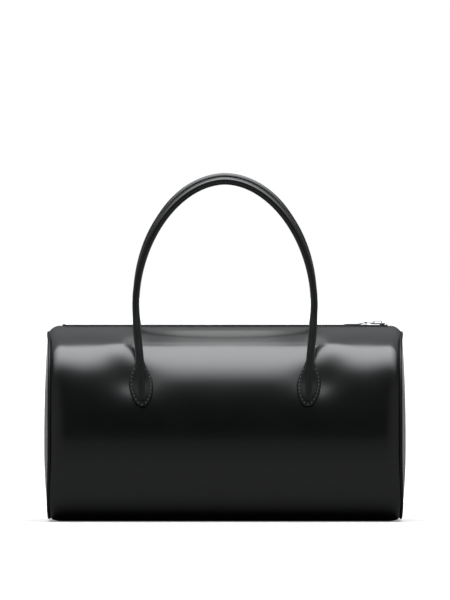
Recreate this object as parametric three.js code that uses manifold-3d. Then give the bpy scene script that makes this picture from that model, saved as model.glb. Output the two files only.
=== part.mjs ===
// A barrel-shaped leather handbag: one wrapped body panel, two piped and domed end panels, a metal
// zip along the top, and a rolled handle on each side that is sewn down by teardrop tabs.
// Millimetres, +Z up, +X to the right and +Y to the rear. The origin is on the floor under the middle.
import * as THREE from "three";
import { ParametricGeometry } from "three/addons/geometries/ParametricGeometry.js";
import { mergeGeometries, mergeVertices } from "three/addons/utils/BufferGeometryUtils.js";
import Module from "manifold-3d";

const wasm = await Module();
wasm.setup();

// Body: its cross-section is a superellipse, widest at the belly and flat where it stands.
const BODY_HEIGHT = 195.5; // floor to the crown of the body
const BODY_DEPTH = 176; // front to rear at the belly
const BELLY_HEIGHT = 80; // height of the widest line above the floor
const BASE_SINK = 4; // how far the lower curve would reach under the floor, which the flat base cuts
const CROWN_FULLNESS = 2.05; // superellipse power above the belly
const BASE_FULLNESS = 3.2; // superellipse power below the belly
const BODY_WALL = 1.8; // leather thickness
const BODY_REACH = 173.2; // middle of the body to the edge that meets the piping
const BARREL = 2; // how much the belly draws in towards each end
const END_ROUND = 24; // radius of the rounded edge before the piping
const END_TURN = THREE.MathUtils.degToRad(25); // how far that edge turns in
const CROWN_ROUND = 2.4; // the crown draws in by this many times what the belly does
const BASE_ROUND = 1.6; // the base draws in by this many times what the belly does
const END_SWELL = 4; // how far the boards push the shoulders of the ends out
const SWELL_START = 85; // distance from the middle at which that begins
const SWELL_HEIGHT = 165;
const SWELL_TALL = 20;
const GAP = 0.3; // clearance between sewn layers
const LAYER_SINK = 0.9; // clearance between the leather and a flat layer sewn under it
const SEAM = 0.4; // clearance where hard pieces pass each other

// Ends
const PIPING_RADIUS = 1.6;
const END_WALL = 1.8;
const END_DOME = 4.8; // how far an end panel bulges
const STIFFENER = 1.4; // board behind an end panel
const LINING = 0.8; // cloth thickness

// Base board and handle backings, between the leather and the lining
const BOARD = 2;
const BOARD_LENGTH = 300;
const BOARD_WIDTH = 84;
const BACKING = 1;
const BACKING_MARGIN = 3; // how far a backing reaches past its tab

// Zip
const MOUTH = 26; // width of the slot between the two leather edges
const TAPE = 0.8;
const TAPE_WIDTH = 17;
const CHAIN_LIFT = 0.3; // height of the middle of the chain over the crown
const TOOTH_PITCH = 3.2;
const TOOTH_WIDTH = 1.2;
const TOOTH_REACH = 1.2; // how far a tooth crosses the middle line
const TOOTH_HEIGHT = 1.6;
const BEAD_OUTER = 4; // the row of tooth roots lies between these two lines
const BEAD_INNER = 2.6;
const STOP_LENGTH = 1.6;
const SLIDER_LENGTH = 16;
const SLIDER_WALL = 0.7;
const SLIDER_FLANGE = 1;
const BAIL_WIDTH = 3;
const BAIL_LENGTH = 9;
const BAIL_BAR = 0.8;
const LINK_WIRE = 0.8;
const LINK_LENGTH = 8.4;
const PULL_WIDTH = 8.6;
const PULL_LENGTH = 23;
const PULL_THICKNESS = 0.8;

// Handles
const HANDLE_RADIUS = 3.35;
const HANDLE_WALL = 1.3;
const HANDLE_APEX = 339.7; // height of the middle of the roll at the top of the arch
const HANDLE_SPRING = 216; // height where the arch starts
const HANDLE_SPAN = 178.4; // between the two legs at that height
const HANDLE_FULLNESS = 1.9; // superellipse power of the arch
const HANDLE_SETBACK = 52; // middle plane of the bag to a leg at the spring height
const HANDLE_APEX_SETBACK = 30; // middle plane of the bag to the top of the arch
const FIN_HEIGHT = 4.6; // stitched seam along the outside of the arch
const FIN_WIDTH = 2.2;
const FIN_START = 250; // height where the seam starts to stand out of the roll
const FIN_FULL = 307; // height where it stands out fully

// Handle tabs
const TAB_THICKNESS = 1.8;
const TAB_WIDTH = 24;
const TAB_NECK = 8.4; // width of a tab where the handle leaves it
const TAB_FOOT_HEIGHT = 116.5; // height of the lower end
const TAB_LEAN = 2.8; // how far a tab leans in from its neck to its lower end
const HINGE_HEIGHT = 162.5; // height on the body where the handle bends away from its tab
const LEG_LEAN = 4.1; // how far a leg leans in from the arch to its tab
const LEG_BEND = 8; // how far a leg follows its tab's slope before it stands up
const RIDGE_ROOM = 2; // room at the end of a tab's ridge for the roll to fold down
const TAB_BELLY = 0.45; // where a tab is widest, as a share of its length

// How finely the curved pieces are faceted
const GIRTH_STEPS = 40;
const PIPING_SIDES = 6;
const DOME_RINGS = 3;
const HANDLE_STEPS = 30;
const TAB_ROWS = 9;
const TAB_COLUMNS = 6;

const { clamp, lerp, smoothstep } = THREE.MathUtils;

// Solids from surfaces

// Welds loose faces into one closed surface with its faces pointing out.
function weld(pieces) {
  const joined = pieces.length > 1 ? mergeGeometries(pieces) : pieces[0].clone();
  joined.deleteAttribute("normal");
  joined.deleteAttribute("uv");
  const merged = mergeVertices(joined, 1e-4);
  const corners = merged.attributes.position;
  const [a, b, c] = [new THREE.Vector3(), new THREE.Vector3(), new THREE.Vector3()];
  const kept = [];
  let volume = 0;
  for (let i = 0; i < merged.index.count; i += 3) {
    const face = [0, 1, 2].map((k) => merged.index.getX(i + k));
    if (new Set(face).size < 3) continue;
    [a, b, c].forEach((corner, k) => corner.fromBufferAttribute(corners, face[k]));
    volume += a.dot(b.cross(c));
    kept.push(...face);
  }
  if (volume < 0) {
    for (let i = 0; i < kept.length; i += 3) [kept[i], kept[i + 1]] = [kept[i + 1], kept[i]];
  }
  return new THREE.BufferGeometry().setAttribute("position", corners).setIndex(kept);
}

// One face of a block, as a surface over the unit square.
function face(place, slices, stacks) {
  return new ParametricGeometry((u, v, target) => target.copy(place(u, v)), slices, stacks);
}

// A closed solid between inner(u, v) and outer(u, v). ring joins its two u edges.
function block(inner, outer, slices, stacks, ring = false) {
  const at = (u, v, w) => (w ? outer(u, v) : inner(u, v));
  const sides = [
    face((a, b) => at(a, b, 1), slices, stacks),
    face((a, b) => at(1 - a, b, 0), slices, stacks),
    face((a, b) => at(b, 1, Math.round(a)), 1, slices),
    face((a, b) => at(b, 0, 1 - Math.round(a)), 1, slices),
  ];
  if (!ring) {
    sides.push(face((a, b) => at(1, a, Math.round(b)), stacks, 1));
    sides.push(face((a, b) => at(0, 1 - a, Math.round(b)), stacks, 1));
  }
  return weld(sides);
}

// A closed round tube along a closed line. side(v) and up(v) span the tube's section.
function loop(centre, side, up, radius, sides, steps) {
  const place = (u, v) => {
    const turn = (u % 1) * 2 * Math.PI;
    return centre(v % 1)
      .addScaledVector(side(v % 1), radius * Math.cos(turn))
      .addScaledVector(up(v % 1), radius * Math.sin(turn));
  };
  return weld([face(place, sides, steps)]);
}

function solid(geometry) {
  const whole = weld([geometry.index ? geometry.toNonIndexed() : geometry]);
  return new wasm.Manifold(
    new wasm.Mesh({
      numProp: 3,
      vertProperties: new Float32Array(whole.attributes.position.array),
      triVerts: new Uint32Array(whole.index.array),
    }),
  );
}

function geometryOf(made) {
  const { vertProperties, triVerts, numProp } = made.getMesh();
  const geometry = new THREE.BufferGeometry();
  geometry.setAttribute("position", new THREE.BufferAttribute(vertProperties, numProp));
  return geometry.setIndex(new THREE.BufferAttribute(triVerts, 1));
}

function box(low, high) {
  const size = high.map((value, k) => value - low[k]);
  const middle = high.map((value, k) => (value + low[k]) / 2);
  return new THREE.BoxGeometry(...size).translate(...middle);
}

// The body's outer form

const turnIn = 1 - Math.cos(END_TURN);
const roundStart = BODY_REACH - END_ROUND * Math.sin(END_TURN);

// How far the outer face lies inside the full section at x, on the belly, the crown and the base.
function drawnIn(x) {
  const lean = clamp((Math.abs(x) - roundStart) / END_ROUND, 0, Math.sin(END_TURN));
  const round = END_ROUND * (1 - Math.sqrt(1 - lean * lean));
  return {
    side: round + BARREL * (x / BODY_REACH) ** 2,
    crown: round * CROWN_ROUND,
    base: round * BASE_ROUND,
    swell: END_SWELL * smoothstep(Math.abs(x), SWELL_START, BODY_REACH),
  };
}

function deeper(inset, by) {
  return { ...inset, side: inset.side + by, crown: inset.crown + by, base: inset.base + by };
}

// A point of the cross-section. Angle 0 is the front belly, a quarter turn is the crown.
function section(angle, inset) {
  const c = Math.cos(angle);
  const s = Math.sin(angle);
  const fullness = s >= 0 ? CROWN_FULLNESS : BASE_FULLNESS;
  const power = 2 / fullness;
  const rise = s >= 0 ? BODY_HEIGHT - BELLY_HEIGHT - inset.crown : BELLY_HEIGHT + BASE_SINK - inset.base;
  const half = BODY_DEPTH / 2 - inset.side;
  const y = -Math.sign(c) * Math.abs(c) ** power * half;
  const z = BELLY_HEIGHT + Math.sign(s) * Math.abs(s) ** power * rise;
  const point = new THREE.Vector2(y, Math.max(z, inset.base));
  if (!inset.swell || s <= 0) return point;
  const way = 2 - power;
  const out = new THREE.Vector2((-Math.sign(c) * Math.abs(c) ** way) / half, s ** way / rise).normalize();
  return point.addScaledVector(out, inset.swell * Math.exp(-(((z - SWELL_HEIGHT) / SWELL_TALL) ** 2)));
}

// The angle at which the outer crown is this far from the middle plane, on the front side.
function crownAngle(distance) {
  return Math.acos((distance / (BODY_DEPTH / 2)) ** (CROWN_FULLNESS / 2));
}

// The angle at which the outer front is at this height above the belly.
function frontAngle(height) {
  return Math.asin(((height - BELLY_HEIGHT) / (BODY_HEIGHT - BELLY_HEIGHT)) ** (CROWN_FULLNESS / 2));
}

// The front face at x and an angle above the belly, lifted outwards.
function onFront(x, angle, lift) {
  const step = 1e-3;
  const inset = drawnIn(x);
  const here = section(angle, inset);
  const tangent = section(angle + step, inset).sub(section(angle - step, inset)).normalize();
  return new THREE.Vector3(x, here.x - tangent.y * lift, here.y + tangent.x * lift);
}

const mouthAngle = crownAngle(MOUTH / 2);
const girth = (u) => lerp(mouthAngle, mouthAngle - 2 * Math.PI + 2 * (Math.PI / 2 - mouthAngle), u);
const wholeGirth = (u) => Math.PI / 2 - 2 * Math.PI * (u % 1);

// Stations along the body: a few along its length, closer together round each end.
function stations(reach, middles) {
  const start = Math.min(roundStart, reach);
  const ends = [0.4, 0.7, 1].map((share) => roundStart + END_ROUND * Math.sin(END_TURN * share));
  const half = [...middles.map((share) => start * share), start, ...ends.filter((x) => x < reach), reach];
  return [...half.map((x) => -x).reverse(), 0, ...half].filter((x, i, all) => i === 0 || x - all[i - 1] > 1e-6);
}

// A layer of the wrapped body, from one inset to a deeper one.
function wrap(stops, angleAt, outerInset, innerInset) {
  const place = (inset) => (u, v) => {
    const x = stops[Math.round(v * (stops.length - 1))];
    const point = section(angleAt(u), inset(x));
    return new THREE.Vector3(x, point.x, point.y);
  };
  return block(place(innerInset), place(outerInset), GIRTH_STEPS, stops.length - 1);
}

const bodyStops = stations(BODY_REACH - 1e-3, [0.52, 0.68, 0.84]);

function bodyPanel() {
  return wrap(bodyStops, girth, drawnIn, (x) => deeper(drawnIn(x), BODY_WALL));
}

// Lining: it hangs inside the leather, over the base board and under the zip tapes.
const liningReach = roundStart;
const liningSide = BODY_WALL + LAYER_SINK + BACKING + 2 * GAP;
const liningBase = BODY_WALL + BOARD + 2 * GAP;
const liningCrown = BODY_WALL + LAYER_SINK + TAPE + 2 * GAP;

function liningInset(by) {
  const ends = drawnIn(liningReach);
  return { side: ends.side + liningSide + by, crown: liningCrown + by, base: liningBase + by };
}

function liningBody() {
  return wrap(
    [-liningReach, liningReach],
    girth,
    () => liningInset(0),
    () => liningInset(LINING),
  );
}

function baseBoard() {
  const bottom = BODY_WALL + GAP;
  const half = [BOARD_LENGTH / 2, BOARD_WIDTH / 2];
  return box([-half[0], -half[1], bottom], [half[0], half[1], bottom + BOARD]);
}

// Ends, drawn for the right end. The left end is the same turned round.

const endInset = drawnIn(BODY_REACH);
const pipingX = BODY_REACH + GAP + PIPING_RADIUS;
const pipingInset = deeper(endInset, BODY_WALL / 2);
const insidePiping = deeper(pipingInset, PIPING_RADIUS + GAP);
const endPanelX = pipingX - END_WALL / 2;
const endMiddle = new THREE.Vector2(0, BELLY_HEIGHT);

function piping() {
  const centre = (v) => {
    const point = section(wholeGirth(v), pipingInset);
    return new THREE.Vector3(pipingX, point.x, point.y);
  };
  const along = new THREE.Vector3(1, 0, 0);
  const outwards = (v) => {
    const step = 1e-3;
    const ahead = centre(v + step).sub(centre((v - step + 1) % 1));
    return ahead.normalize().cross(along);
  };
  return loop(centre, () => along, outwards, PIPING_RADIUS, PIPING_SIDES, GIRTH_STEPS);
}

// A disc with the outline of the end: x(share) is its face, where share is 0 in the middle and 1 at the rim.
function endDisc(inset, inner, outer, rings) {
  const place = (x) => (u, v) => {
    const rim = section(wholeGirth(u), inset);
    const point = endMiddle.clone().lerp(rim, v);
    return new THREE.Vector3(x(v), point.x, point.y);
  };
  return block(place(inner), place(outer), GIRTH_STEPS, rings, true);
}

function endPanel() {
  const inner = (share) => endPanelX + END_DOME * (1 - share ** 2);
  return endDisc(insidePiping, inner, (share) => inner(share) + END_WALL, DOME_RINGS);
}

function endStiffener() {
  const outer = endPanelX - GAP;
  return endDisc(insidePiping, () => outer - STIFFENER, () => outer, 1);
}

function endLining() {
  const outer = endPanelX - STIFFENER - 2 * GAP;
  return endDisc(insidePiping, () => outer - LINING, () => outer, 1);
}

// Zip

const chainZ = BODY_HEIGHT + CHAIN_LIFT;
const tapeInner = BEAD_OUTER + GAP;
const tapeReach = roundStart - GAP;
const sliderX = tapeReach - STOP_LENGTH - 2 * GAP - SLIDER_LENGTH / 2;
const chainEnd = sliderX - SLIDER_LENGTH / 2 + 2;
const chainStart = 2 * STOP_LENGTH + 2 * GAP - tapeReach;

// The rear tape: it lies under the leather edge and rises to the chain.
function zipTape() {
  const outer = tapeInner + TAPE_WIDTH;
  const edge = MOUTH / 2 - 1;
  const deep = BODY_WALL + LAYER_SINK;
  const place = (depth) => (u, v) => {
    const y = lerp(tapeInner, outer, u);
    const share = clamp((y - tapeInner) / (edge - tapeInner), 0, 1);
    const under = lerp(-CHAIN_LIFT - TAPE / 2, deep, share);
    const top = section(crownAngle(y), { side: 0, crown: under, base: 0 });
    return new THREE.Vector3(lerp(-tapeReach, tapeReach, v), y, top.y - depth);
  };
  return block(place(TAPE), place(0), 5, 1);
}

// One row of teeth, standing on the bead that runs along the tape's edge, for the rear tape.
function zipTeeth(shift) {
  const count = Math.floor((chainEnd - chainStart - TOOTH_PITCH) / TOOTH_PITCH);
  const outline = new THREE.Shape();
  outline.moveTo(chainStart, BEAD_OUTER);
  outline.lineTo(chainStart, BEAD_INNER);
  for (let k = 0; k < count; k++) {
    const x = chainStart + (k + 0.5 + shift) * TOOTH_PITCH;
    outline.lineTo(x - TOOTH_WIDTH / 2, BEAD_INNER);
    outline.lineTo(x - TOOTH_WIDTH / 2, -TOOTH_REACH);
    outline.lineTo(x + TOOTH_WIDTH / 2, -TOOTH_REACH);
    outline.lineTo(x + TOOTH_WIDTH / 2, BEAD_INNER);
  }
  outline.lineTo(chainEnd, BEAD_INNER);
  outline.lineTo(chainEnd, BEAD_OUTER);
  const row = new THREE.ExtrudeGeometry(outline, { depth: TOOTH_HEIGHT, bevelEnabled: false, steps: 1 });
  return weld([row.translate(0, 0, chainZ - TOOTH_HEIGHT / 2)]);
}

function bottomStop() {
  const right = chainStart - GAP;
  const half = TOOTH_HEIGHT / 2 + GAP;
  return box([right - 2 * STOP_LENGTH, -BEAD_OUTER, chainZ - half], [right, BEAD_OUTER, chainZ + half]);
}

function topStop() {
  const left = sliderX + SLIDER_LENGTH / 2 + GAP;
  const half = TOOTH_HEIGHT / 2;
  return box([left, BEAD_INNER, chainZ - half], [left + STOP_LENGTH, BEAD_OUTER, chainZ + half]);
}

// The leather that closes the slot between the end of the tapes and the piping, at the right end.
function zipEndTab() {
  const start = tapeReach + GAP;
  const stops = [start, ...bodyStops.filter((x) => x > start)];
  const edge = crownAngle(MOUTH / 2 - SEAM);
  const place = (by) => (u, v) => {
    const x = stops[Math.round(v * (stops.length - 1))];
    const point = section(lerp(edge, Math.PI - edge, u), deeper(drawnIn(x), by));
    return new THREE.Vector3(x, point.x, point.y);
  };
  return block(place(BODY_WALL), place(0), 4, stops.length - 1);
}

const sliderInside = TOOTH_HEIGHT / 2 + SEAM;
const sliderHalfWidth = BEAD_OUTER + SEAM + SLIDER_FLANGE;
const sliderTop = sliderInside + SLIDER_WALL;
const pivotLift = sliderTop + LINK_WIRE / 2 + SEAM;
const bailInside = pivotLift + LINK_WIRE / 2 + SEAM;

// The slider, about the middle of the chain: two plates joined by a post, with a bail on top.
function zipSlider() {
  const halfLength = SLIDER_LENGTH / 2;
  const plate = new THREE.Shape();
  const corner = sliderHalfWidth / 3;
  plate.moveTo(-halfLength, corner - sliderHalfWidth);
  plate.lineTo(corner - halfLength, -sliderHalfWidth);
  plate.lineTo(halfLength - corner, -sliderHalfWidth);
  plate.lineTo(halfLength, corner - sliderHalfWidth);
  plate.lineTo(halfLength, sliderHalfWidth - corner);
  plate.lineTo(halfLength - corner, sliderHalfWidth);
  plate.lineTo(corner - halfLength, sliderHalfWidth);
  plate.lineTo(-halfLength, sliderHalfWidth - corner);
  const cut = { depth: SLIDER_WALL, bevelEnabled: false, steps: 1 };
  let made = solid(new THREE.ExtrudeGeometry(plate, cut).translate(0, 0, sliderInside));
  made = made.add(solid(new THREE.ExtrudeGeometry(plate, cut).translate(0, 0, -sliderTop)));
  const tapeAtFlange = TAPE / 2 + GAP;
  const flangeStart = sliderHalfWidth - SLIDER_FLANGE;
  const overlap = SLIDER_WALL / 2;
  for (const side of [-1, 1]) {
    const near = side > 0 ? flangeStart : -sliderHalfWidth;
    const far = side > 0 ? sliderHalfWidth : -flangeStart;
    const reach = halfLength - corner;
    made = made.add(solid(box([-reach, near, tapeAtFlange], [reach, far, sliderInside + overlap])));
    made = made.add(solid(box([-reach, near, -sliderInside - overlap], [reach, far, -tapeAtFlange - TAPE])));
  }
  const post = new THREE.CylinderGeometry(BEAD_INNER, BEAD_INNER, 2 * sliderInside + SLIDER_WALL, 4);
  post.rotateX(Math.PI / 2).scale(1, 0.5, 1);
  made = made.add(solid(post.translate(halfLength - BEAD_INNER - SLIDER_WALL, 0, 0)));
  return geometryOf(made.add(solid(bail())));
}

function bail() {
  const half = BAIL_LENGTH / 2;
  const inside = half - BAIL_BAR;
  const foot = sliderTop - SLIDER_WALL / 2;
  const top = bailInside + BAIL_BAR;
  const arch = new THREE.Shape();
  arch.moveTo(-half, foot);
  arch.lineTo(-half, top - BAIL_BAR);
  arch.lineTo(-inside, top);
  arch.lineTo(inside, top);
  arch.lineTo(half, top - BAIL_BAR);
  arch.lineTo(half, foot);
  arch.lineTo(inside, foot);
  arch.lineTo(inside, bailInside);
  arch.lineTo(-inside, bailInside);
  arch.lineTo(-inside, foot);
  const made = new THREE.ExtrudeGeometry(arch, { depth: BAIL_WIDTH, bevelEnabled: false, steps: 1 });
  return made.rotateX(Math.PI / 2).translate(0, BAIL_WIDTH / 2, 0);
}

// The puller, about its pivot: a wire link through the bail and a leather pull folded round the link.
const linkHalfWidth = PULL_WIDTH / 2 + GAP + LINK_WIRE / 2;

function pullerLink() {
  const bend = LINK_WIRE;
  const line = new THREE.CurvePath();
  const corners = [
    [0, -linkHalfWidth],
    [0, linkHalfWidth],
    [-LINK_LENGTH, linkHalfWidth],
    [-LINK_LENGTH, -linkHalfWidth],
  ].map(([x, y]) => new THREE.Vector3(x, y, 0));
  const towards = (from, to) => from.clone().addScaledVector(to.clone().sub(from).normalize(), bend);
  corners.forEach((corner, k) => {
    const next = corners[(k + 1) % 4];
    const last = corners[(k + 3) % 4];
    line.add(new THREE.QuadraticBezierCurve3(towards(corner, last), corner, towards(corner, next)));
    line.add(new THREE.LineCurve3(towards(corner, next), towards(next, corner)));
  });
  const up = new THREE.Vector3(0, 0, 1);
  const side = (v) => line.getTangentAt(v).cross(up).normalize();
  return loop((v) => line.getPointAt(v), side, () => up, LINK_WIRE / 2, 6, 24);
}

function pullerTab() {
  const eye = LINK_WIRE / 2 + GAP;
  const roll = eye + PULL_THICKNESS / 2;
  const half = PULL_THICKNESS / 2;
  const end = -LINK_LENGTH - PULL_LENGTH;
  const open = Math.asin(half / roll);
  const profile = new THREE.Shape();
  profile.moveTo(end, -half);
  profile.absarc(-LINK_LENGTH, 0, roll, Math.PI + open, 3 * Math.PI - open, false);
  profile.lineTo(end, half);
  const hole = new THREE.Path();
  hole.absarc(-LINK_LENGTH, 0, eye, 0, 2 * Math.PI, true);
  profile.holes.push(hole);
  const strap = new THREE.ExtrudeGeometry(profile, {
    depth: PULL_WIDTH,
    bevelEnabled: false,
    steps: 1,
    curveSegments: 10,
  });
  strap.rotateX(Math.PI / 2).translate(0, PULL_WIDTH / 2, 0);
  const outline = new THREE.Shape();
  const tip = PULL_WIDTH / 2;
  outline.moveTo(roll, -tip);
  outline.lineTo(roll, tip);
  outline.absarc(end + tip, 0, tip, Math.PI / 2, (3 * Math.PI) / 2, false);
  const plan = new THREE.ExtrudeGeometry(outline, { depth: 4 * roll, bevelEnabled: false, curveSegments: 8 });
  return geometryOf(solid(strap).intersect(solid(plan.translate(0, 0, -2 * roll))));
}

// Handles, drawn for the front. The rear handle is the same turned round.

const hingeX = HANDLE_SPAN / 2 - LEG_LEAN;
const hingeAngle = frontAngle(HINGE_HEIGHT);
const rollLift = GAP + TAB_THICKNESS + GAP + HANDLE_RADIUS;
const hinge = onFront(hingeX, hingeAngle, rollLift);
const tabFootAngle = frontAngle(TAB_FOOT_HEIGHT);
const hingeStep = onFront(hingeX, hingeAngle + 1e-3, rollLift).sub(hinge);
const tabHeadAngle = hingeAngle;
const ridgeEnd = 1 - (1e-3 * (HANDLE_RADIUS + RIDGE_ROOM)) / hingeStep.length() / (hingeAngle - tabFootAngle);

class Arch extends THREE.Curve {
  // From the left leg over the apex to the right leg.
  getPoint(t, target = new THREE.Vector3()) {
    const turn = Math.PI * (1 - t);
    const c = Math.cos(turn);
    const s = Math.max(Math.sin(turn), 0);
    const power = 2 / HANDLE_FULLNESS;
    return target.set(
      (Math.sign(c) * Math.abs(c) ** power * HANDLE_SPAN) / 2,
      -lerp(HANDLE_SETBACK, HANDLE_APEX_SETBACK, s),
      lerp(HANDLE_SPRING, HANDLE_APEX, s ** power),
    );
  }
}

// The middle of the roll, from the left hinge to the right one.
function handleLine() {
  const mirrored = (point) => new THREE.Vector3(-point.x, point.y, point.z);
  const spring = new THREE.Vector3(HANDLE_SPAN / 2, -HANDLE_SETBACK, HANDLE_SPRING);
  const rise = hingeStep.clone().normalize();
  const bend = hinge.clone().addScaledVector(rise, LEG_BEND);
  bend.x = lerp(hinge.x, spring.x, LEG_BEND / (HANDLE_SPRING - HINGE_HEIGHT));
  const line = new THREE.CurvePath();
  line.add(new THREE.QuadraticBezierCurve3(mirrored(hinge), mirrored(bend), mirrored(spring)));
  line.add(new Arch());
  line.add(new THREE.QuadraticBezierCurve3(spring, bend, hinge));
  return line;
}

const handle = handleLine();
const handleLength = handle.getLength();

// The roll's frame at a share of its length: its middle, the way out of the arch, and the way to the front.
function handleFrame(share) {
  const middle = handle.getPointAt(share);
  const ahead = handle.getTangentAt(share);
  const front = new THREE.Vector3(0, -1, 0);
  front.addScaledVector(ahead, -front.dot(ahead)).normalize();
  const out = front.clone().cross(ahead).normalize();
  return { middle, ahead, out, front };
}

// The section of the wrapped roll: a circle with a stitched fin on its outer side.
function rollSection(u, fin) {
  const half = FIN_WIDTH / 2;
  const root = Math.sqrt(HANDLE_RADIUS ** 2 - half ** 2);
  const start = Math.asin(half / HANDLE_RADIUS);
  const arcSteps = 8;
  const k = Math.round((u % 1) * (arcSteps + 3));
  if (k === 0) return new THREE.Vector2(root + fin, half);
  if (k === arcSteps + 2) return new THREE.Vector2(root + fin, -half);
  const turn = lerp(start, 2 * Math.PI - start, (k - 1) / arcSteps);
  return new THREE.Vector2(HANDLE_RADIUS * Math.cos(turn), HANDLE_RADIUS * Math.sin(turn));
}

const ROLL_SIDES = 11;

// Rows of the cover: evenly spaced, with a rounded end past each hinge.
const coverRows = [-0.75, -0.4, 0];

function handleCover() {
  const rows = HANDLE_STEPS + 2 * (coverRows.length - 1);
  const place = (outer) => (u, v) => {
    const row = Math.round(v * rows);
    const early = Math.min(row - coverRows.length + 1, 0);
    const late = Math.max(row - rows + coverRows.length - 1, 0);
    const past = coverRows[coverRows.length - 1 - Math.max(-early, late)] * HANDLE_RADIUS;
    const share = clamp((row - coverRows.length + 1) / HANDLE_STEPS, 0, 1);
    const { middle, ahead, out, front } = handleFrame(share);
    middle.addScaledVector(ahead, share < 0.5 ? past : -past);
    const ramp = clamp((middle.z - FIN_START) / (FIN_FULL - FIN_START), 0, 1);
    const point = rollSection(u, FIN_HEIGHT * ramp);
    if (!outer) point.setLength(HANDLE_RADIUS - HANDLE_WALL);
    else if (past) point.setLength(Math.sqrt(HANDLE_RADIUS ** 2 - past ** 2));
    return middle.addScaledVector(out, point.x).addScaledVector(front, point.y);
  };
  return block(place(false), place(true), ROLL_SIDES, rows, true);
}

function handleCore() {
  const radius = HANDLE_RADIUS - HANDLE_WALL - GAP;
  const round = new THREE.Shape();
  round.absarc(0, 0, radius, 0, 2 * Math.PI, false);
  const core = new THREE.ExtrudeGeometry(round, { extrudePath: handle, steps: HANDLE_STEPS, curveSegments: 3 });
  return weld([core]);
}

// Handle tabs, drawn for the front right.

function tabHalfWidth(v) {
  if (v < TAB_BELLY) return (TAB_WIDTH / 2) * Math.sqrt(1 - (1 - v / TAB_BELLY) ** 2);
  const share = (1 + Math.cos((Math.PI * (v - TAB_BELLY)) / (1 - TAB_BELLY))) / 2;
  return lerp(TAB_NECK, TAB_WIDTH, share) / 2;
}

function tabPlace(u, v, margin, lift) {
  const middle = hingeX - TAB_LEAN * (1 - v);
  const across = lerp(-1, 1, u) * (tabHalfWidth(v) + margin);
  return onFront(middle + across, lerp(tabFootAngle, tabHeadAngle, v), lift);
}

// A plate with a ridge that grows into the roll. The plate runs on under the end of the roll.
function handleTab() {
  const proud = rollLift + HANDLE_RADIUS - GAP - TAB_THICKNESS;
  const shares = Array.from({ length: TAB_ROWS + 1 }, (_, row) => (row / TAB_ROWS) * ridgeEnd);
  shares.push(ridgeEnd + 1e-2, 1);
  const share = (v) => shares[Math.round(v * (shares.length - 1))];
  const outer = (u, v) => {
    const at = share(v);
    const side = (lerp(-1, 1, u) * tabHalfWidth(at)) / HANDLE_RADIUS;
    const rise = at > ridgeEnd ? 0 : proud * smoothstep(at, TAB_BELLY / 2, ridgeEnd);
    const ridge = rise * Math.sqrt(Math.max(1 - side * side, 0));
    return tabPlace(u, at, 0, GAP + TAB_THICKNESS + ridge);
  };
  return block((u, v) => tabPlace(u, share(v), 0, GAP), outer, TAB_COLUMNS, shares.length - 1);
}

function tabBacking() {
  const under = BODY_WALL + LAYER_SINK;
  const place = (depth) => (u, v) => {
    const middle = hingeX - TAB_LEAN * (1 - v);
    const across = lerp(-1, 1, u) * (TAB_WIDTH / 2 + BACKING_MARGIN);
    const angle = lerp(tabFootAngle, tabHeadAngle, v);
    return onFront(middle + across, angle, -depth);
  };
  return block(place(under + BACKING), place(under), 2, 4);
}

// Materials

function finish(colour, roughness, metalness = 0) {
  return new THREE.MeshStandardMaterial({ color: colour, roughness, metalness });
}

const polishedLeather = finish("#0e0f10", 0.3);
const handleLeather = finish("#121314", 0.4);
const bondedBoard = finish("#4a3f36", 0.9);
const liningCloth = finish("#2a2523", 0.9);
const cottonCord = finish("#b9ad98", 0.95);
const tapeCloth = finish("#131314", 0.85);
const bareMetal = finish("#c9cbce", 0.2, 1);

// Assembly

const bag = new THREE.Group();

function add(parent, name, geometry, material) {
  const mesh = new THREE.Mesh(geometry, material);
  mesh.name = name;
  parent.add(mesh);
}

function turnedGroup(turned) {
  const group = new THREE.Group();
  group.rotation.z = turned ? Math.PI : 0;
  bag.add(group);
  return group;
}

add(bag, "body_panel", bodyPanel(), polishedLeather);
add(bag, "lining_body", liningBody(), liningCloth);
add(bag, "base_board", baseBoard(), bondedBoard);

for (const [name, turned] of [["right", false], ["left", true]]) {
  const end = turnedGroup(turned);
  add(end, `piping_${name}`, piping(), handleLeather);
  add(end, `end_panel_${name}`, endPanel(), polishedLeather);
  add(end, `end_stiffener_${name}`, endStiffener(), bondedBoard);
  add(end, `lining_end_${name}`, endLining(), liningCloth);
  add(end, `zip_end_tab_${name}`, zipEndTab(), polishedLeather);
}

const mirrorY = new THREE.Matrix4().makeScale(1, -1, 1);
const frontOf = (geometry) => weld([geometry.clone().applyMatrix4(mirrorY).toNonIndexed()]);
add(bag, "zip_tape_rear", zipTape(), tapeCloth);
add(bag, "zip_tape_front", frontOf(zipTape()), tapeCloth);
add(bag, "zip_teeth_rear", zipTeeth(0), bareMetal);
add(bag, "zip_teeth_front", frontOf(zipTeeth(0.5)), bareMetal);
add(bag, "zip_top_stop_rear", topStop(), bareMetal);
add(bag, "zip_top_stop_front", frontOf(weld([topStop()])), bareMetal);
add(bag, "zip_bottom_stop", bottomStop(), bareMetal);

const slider = new THREE.Group();
slider.position.set(sliderX, 0, chainZ);
bag.add(slider);
add(slider, "zip_slider", zipSlider(), bareMetal);
const puller = new THREE.Group();
const pullDrop = pivotLift - PULL_THICKNESS / 2 - TOOTH_HEIGHT / 2 - GAP;
puller.position.set(-(BAIL_LENGTH / 2 - BAIL_BAR - LINK_WIRE / 2 - SEAM), 0, pivotLift);
puller.rotation.y = -Math.asin(pullDrop / (LINK_LENGTH + PULL_LENGTH));
slider.add(puller);
add(puller, "puller_link", pullerLink(), bareMetal);
add(puller, "puller_tab", pullerTab(), handleLeather);

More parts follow.
